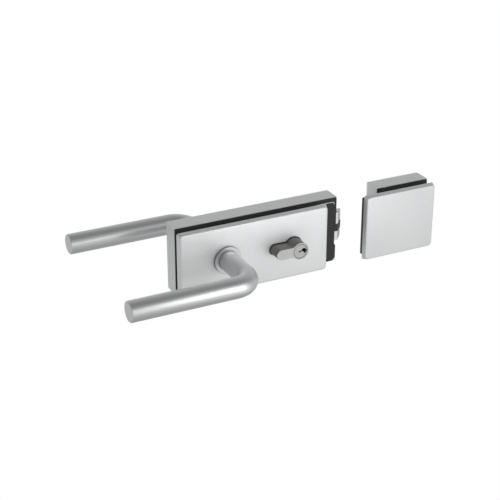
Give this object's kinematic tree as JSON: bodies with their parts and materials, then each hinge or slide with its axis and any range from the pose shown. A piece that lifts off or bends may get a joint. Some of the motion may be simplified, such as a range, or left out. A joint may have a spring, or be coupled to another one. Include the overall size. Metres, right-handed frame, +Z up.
{
  "type": "glass to glass lever lockset",
  "caption": "Lever lockset for frameless glass doors: a clamped lock half with round levers, sprung latch, deadbolt and profile cylinder, and a clamped strike half.",
  "frame": {"origin": "on the axis of the levers, in the plane of the glass pane's back face, where the gasket of the deep case meets it", "axes": "+X from the lock half to the strike half, +Y through the glass to the side of the deep cases, +Z up"},
  "size_m": [0.3455, 0.17, 0.067],
  "materials": {
    "satin_aluminium": "satin anodised",
    "lever_aluminium": "satin, brushed along the bar",
    "nickel": "satin nickel plate",
    "zinc_steel": "zinc plate",
    "dark_steel": "black coated plate",
    "black_housing": "black satin coating",
    "black_nylon": "matt",
    "black_rubber": "matt",
    "brass": "turned"
  },
  "bodies": {
    "lockset": {"rear_case": "satin_aluminium", "rear_gasket": "black_rubber", "lock_body": "black_housing", "lock_lid": "black_housing", "lid_screws": "zinc_steel", "front_pad": "black_rubber", "clamp_plate": "dark_steel", "clamp_screws": "zinc_steel", "front_cover": "satin_aluminium", "front_rose": "satin_aluminium", "rear_rose": "satin_aluminium", "front_bush": "black_nylon", "rear_bush": "black_nylon", "follower_spring": "zinc_steel", "latch_spring": "zinc_steel", "cylinder_housing": "nickel", "pin_stacks": "brass", "cylinder_screw": "zinc_steel", "strike_case": "satin_aluminium", "strike_gasket": "black_rubber", "strike_keep": "black_housing", "strike_pad": "black_rubber", "strike_clamp_plate": "dark_steel", "strike_screws": "zinc_steel", "strike_cover": "satin_aluminium", "strike_buffer": "black_rubber"},
    "levers": {"front_lever": "lever_aluminium", "rear_lever": "lever_aluminium", "spindle": "zinc_steel", "lever_grub_screws": "zinc_steel", "follower": "zinc_steel"},
    "latch": {"latch_bolt": "nickel", "latch_insert": "black_nylon"},
    "bolt": {"deadbolt": "nickel"},
    "front_key_plug": {"front_plug": "nickel"},
    "rear_key_plug": {"rear_plug": "nickel"},
    "lock_cam": {"cam": "zinc_steel", "clutch": "brass"}
  },
  "joints": [
    {"name": "lever_turn", "type": "hinge", "parent": "lockset", "child": "levers", "pos_m": [0, 0, 0], "axis": [0, -1, 0], "range_deg": [0, 45], "stiffness_Nm_per_rad": 0.6, "springref_deg": -85.94, "deforming": ["follower_spring"]},
    {"name": "latch_slide", "type": "slide", "parent": "lockset", "child": "latch", "axis": [1, 0, 0], "range_m": [-0.0127, 0], "deforming": ["latch_spring"]},
    {"name": "front_key_turn", "type": "hinge", "parent": "lockset", "child": "front_key_plug", "pos_m": [0.0685, 0, 0], "axis": [0, -1, 0], "range_deg": [0, 360]},
    {"name": "rear_key_turn", "type": "hinge", "parent": "lockset", "child": "rear_key_plug", "pos_m": [0.0685, 0, 0], "axis": [0, -1, 0], "range_deg": [0, 360]},
    {"name": "cam_turn", "type": "hinge", "parent": "lockset", "child": "lock_cam", "pos_m": [0.0685, 0, 0], "axis": [0, -1, 0], "range_deg": [0, 360]},
    {"name": "deadbolt_slide", "type": "slide", "parent": "lockset", "child": "bolt", "axis": [1, 0, 0], "range_m": [0, 0.014]}
  ],
  "couplings": [
    {"joint": "latch_slide", "follows": "lever_turn", "m_per_rad": -0.016},
    {"joint": "cam_turn", "follows": "deadbolt_slide", "rad_per_m": 448.8},
    {"joint": "front_key_turn", "follows": "deadbolt_slide", "rad_per_m": 448.8}
  ]
}
